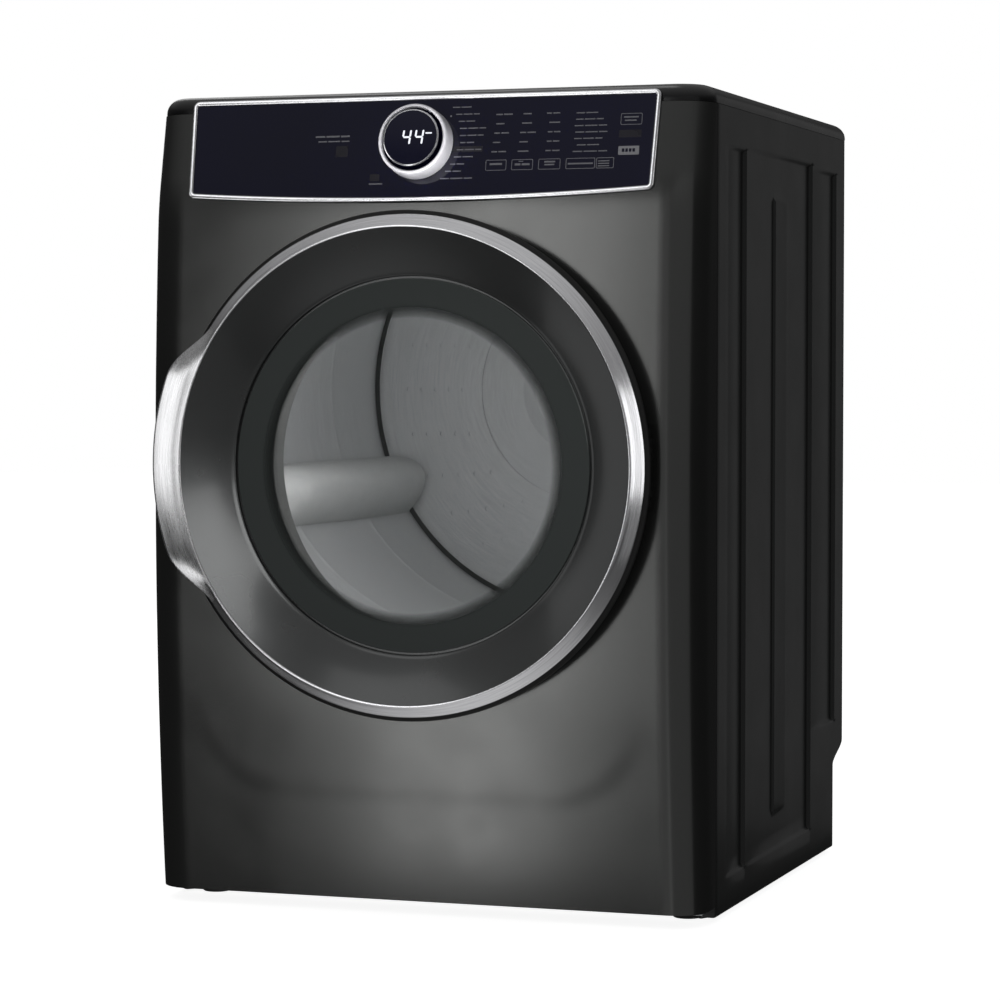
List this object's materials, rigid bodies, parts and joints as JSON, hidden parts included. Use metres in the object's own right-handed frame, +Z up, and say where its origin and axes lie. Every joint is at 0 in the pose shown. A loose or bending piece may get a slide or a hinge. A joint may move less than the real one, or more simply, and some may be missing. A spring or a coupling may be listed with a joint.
{
  "type": "clothes dryer",
  "caption": "Front-loading clothes dryer with a round glass door, tilted control console with a dial, turning drum, belt drive, lint filter and rear exhaust outlet.",
  "frame": {"origin": "on the floor, under the middle of the overall box", "axes": "+Z up, the front with the door faces -Y, +X is the right-hand side seen from the front, where the door is hinged"},
  "size_m": [0.686, 0.784, 0.965],
  "materials": {
    "front_paint": "titanium grey metallic paint, satin",
    "side_paint": "dark grey paint, satin",
    "lid_paint": "black paint, satin",
    "zinc_sheet": "zinc coated sheet",
    "console_glass": "black gloss",
    "bright_trim": "chrome plated",
    "handle_metal": "brushed along its length",
    "door_dish": "dark grey metallic paint",
    "black_plastic": "fine grain",
    "dark_plastic": "fine grain",
    "white_plastic": "moulded",
    "board_green": "coated circuit board",
    "door_window": "tinted clear glass",
    "inner_window": "clear glass",
    "drum_steel": "rolled steel",
    "shaft_steel": "turned steel",
    "felt": "pressed felt",
    "rubber_black": "moulded rubber",
    "bearing_bronze": "sintered bronze",
    "motor_paint": "grey enamel",
    "coil_wire": "oxidised resistance wire",
    "lint_screen": "fine woven screen"
  },
  "bodies": {
    "cabinet": {"front_panel": "front_paint", "side_panel_left": "side_paint", "side_panel_right": "side_paint", "top_panel": "lid_paint", "rear_panel": "zinc_sheet", "base_pan": "zinc_sheet", "console_fascia": "console_glass", "console_frame": "bright_trim", "console_back": "dark_plastic", "control_board": "board_green", "display_lens": "console_glass", "front_bulkhead": "zinc_sheet", "throat_collar": "drum_steel", "drum_felt": "felt", "drum_glides": "white_plastic", "rear_bulkhead": "zinc_sheet", "rear_bearing": "bearing_bronze", "drive_belt": "rubber_black", "motor_housing": "motor_paint", "motor_bracket": "zinc_sheet", "blower_housing": "dark_plastic", "idler_spring": "shaft_steel", "lint_chute": "white_plastic", "exhaust_pipe": "zinc_sheet", "heater_housing": "zinc_sheet", "heating_coil": "coil_wire", "thermostats": "white_plastic", "hinge_bracket": "zinc_sheet", "door_strike": "white_plastic", "door_switch": "black_plastic", "drum_lamp": "white_plastic", "terminal_cover": "side_paint", "rear_screws": "shaft_steel"},
    "door": {"door_ring": "bright_trim", "door_handle": "handle_metal", "door_bezel": "door_dish", "door_rim": "black_plastic", "door_glass": "door_window", "door_liner": "drum_steel", "door_inner_glass": "inner_window", "door_seal": "rubber_black", "door_hinge": "shaft_steel", "door_catch": "shaft_steel"},
    "knob": {"selector_knob": "bright_trim"},
    "drum": {"drum_shell": "drum_steel", "drum_back": "drum_steel", "drum_vanes": "white_plastic", "drum_axle": "shaft_steel"},
    "rotor": {"motor_shaft": "shaft_steel", "motor_pulley": "shaft_steel", "blower_wheel": "white_plastic"},
    "tension_arm": {"idler_arm": "zinc_sheet"},
    "idler_wheel": {"idler_pulley": "white_plastic"},
    "lint_filter": {"lint_filter_frame": "dark_plastic", "lint_filter_mesh": "lint_screen"},
    "door_plunger": {"switch_plunger": "white_plastic"},
    "front_left_foot": {"foot_front_left": "rubber_black"},
    "front_right_foot": {"foot_front_right": "rubber_black"},
    "rear_left_foot": {"foot_rear_left": "rubber_black"},
    "rear_right_foot": {"foot_rear_right": "rubber_black"}
  },
  "joints": [
    {"name": "door_hinge", "type": "hinge", "parent": "cabinet", "child": "door", "pos_m": [0.276, -0.37, 0.528], "axis": [0, 0, 1], "range_deg": [0, 120]},
    {"name": "knob_spin", "type": "hinge", "parent": "cabinet", "child": "knob", "pos_m": [0, -0.32453, 0.90119], "axis": [0, -0.9781, 0.2079], "continuous": true},
    {"name": "drum_spin", "type": "hinge", "parent": "cabinet", "child": "drum", "pos_m": [0, 0, 0.612], "axis": [0, 1, 0], "continuous": true},
    {"name": "rotor_spin", "type": "hinge", "parent": "cabinet", "child": "rotor", "pos_m": [0.12, 0, 0.15], "axis": [0, 1, 0], "continuous": true},
    {"name": "tension_arm_swing", "type": "hinge", "parent": "cabinet", "child": "tension_arm", "pos_m": [0.07, 0, 0.16], "axis": [0, -1, 0], "range_deg": [0, 8], "stiffness_Nm_per_rad": 2, "springref_deg": -11.46, "deforming": ["idler_spring"]},
    {"name": "idler_wheel_spin", "type": "hinge", "parent": "tension_arm", "child": "idler_wheel", "pos_m": [0.025, 0, 0.203], "axis": [0, 1, 0], "continuous": true},
    {"name": "lint_filter_slide", "type": "slide", "parent": "cabinet", "child": "lint_filter", "axis": [0, 0, 1], "range_m": [0, 0.15]},
    {"name": "door_plunger_slide", "type": "slide", "parent": "cabinet", "child": "door_plunger", "axis": [0, -1, 0], "range_m": [0, 0.004]},
    {"name": "front_left_foot_screw", "type": "slide", "parent": "cabinet", "child": "front_left_foot", "axis": [0, 0, -1], "range_m": [0, 0.02]},
    {"name": "front_right_foot_screw", "type": "slide", "parent": "cabinet", "child": "front_right_foot", "axis": [0, 0, -1], "range_m": [0, 0.02]},
    {"name": "rear_left_foot_screw", "type": "slide", "parent": "cabinet", "child": "rear_left_foot", "axis": [0, 0, -1], "range_m": [0, 0.02]},
    {"name": "rear_right_foot_screw", "type": "slide", "parent": "cabinet", "child": "rear_right_foot", "axis": [0, 0, -1], "range_m": [0, 0.02]}
  ],
  "couplings": [
    {"joint": "rotor_spin", "follows": "drum_spin", "ratio": 27.105},
    {"joint": "idler_wheel_spin", "follows": "drum_spin", "ratio": -17.759},
    {"joint": "door_plunger_slide", "follows": "door_hinge", "m_per_rad": 0.0019051}
  ]
}
